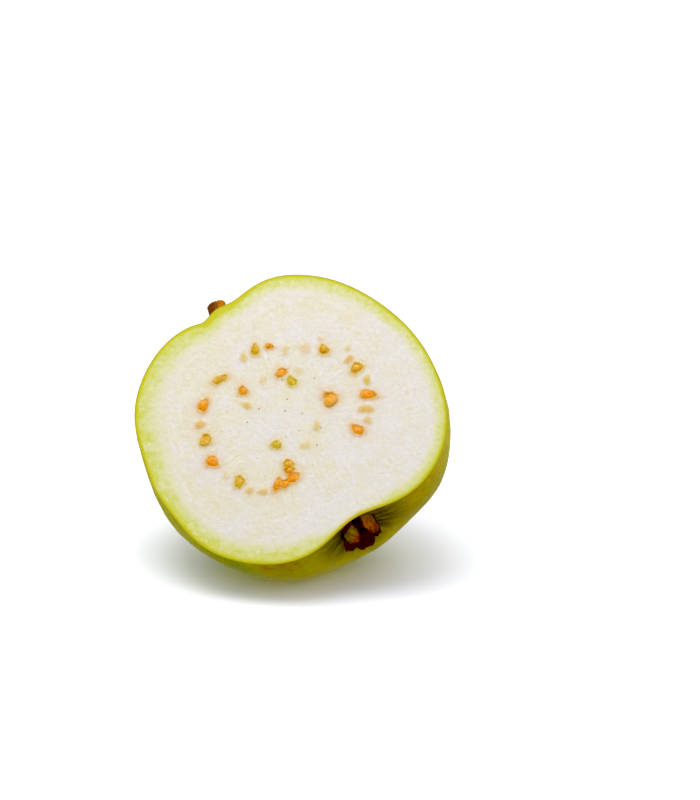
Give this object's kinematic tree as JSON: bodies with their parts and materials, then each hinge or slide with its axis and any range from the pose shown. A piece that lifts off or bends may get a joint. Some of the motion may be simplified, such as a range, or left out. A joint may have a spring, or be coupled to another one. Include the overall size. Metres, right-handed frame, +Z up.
{
  "type": "guava half",
  "caption": "Ripe white-fleshed guava cut lengthwise beside its core, lying on its yellow-green skin, with seeds bare on the cut face, a stem stub and a dry calyx.",
  "frame": {"origin": "middle of the pressed flat spot of skin that the half rests on", "axes": "+Z up from the surface it rests on; the cut face looks towards -Y and up; +X to the right along the cut face, the way the calyx end points"},
  "size_m": [0.094, 0.0791, 0.0816],
  "materials": {
    "skin": "waxy yellow-green guava skin, softly glossy, with fine pores and faint brown flecks",
    "flesh": "moist cream-white flesh, pale green towards the skin, fine gritty grain",
    "seeds": "wet orange to olive-tan seeds in their pulp",
    "stem": "dry brown bark with a torn fibrous end",
    "calyx": "dry sepals, dark maroon with tan and olive backs, brittle and creased"
  },
  "bodies": {
    "root": {"fruit_half": "skin", "stem_stub": "stem", "calyx_crown": "calyx"}
  },
  "joints": []
}
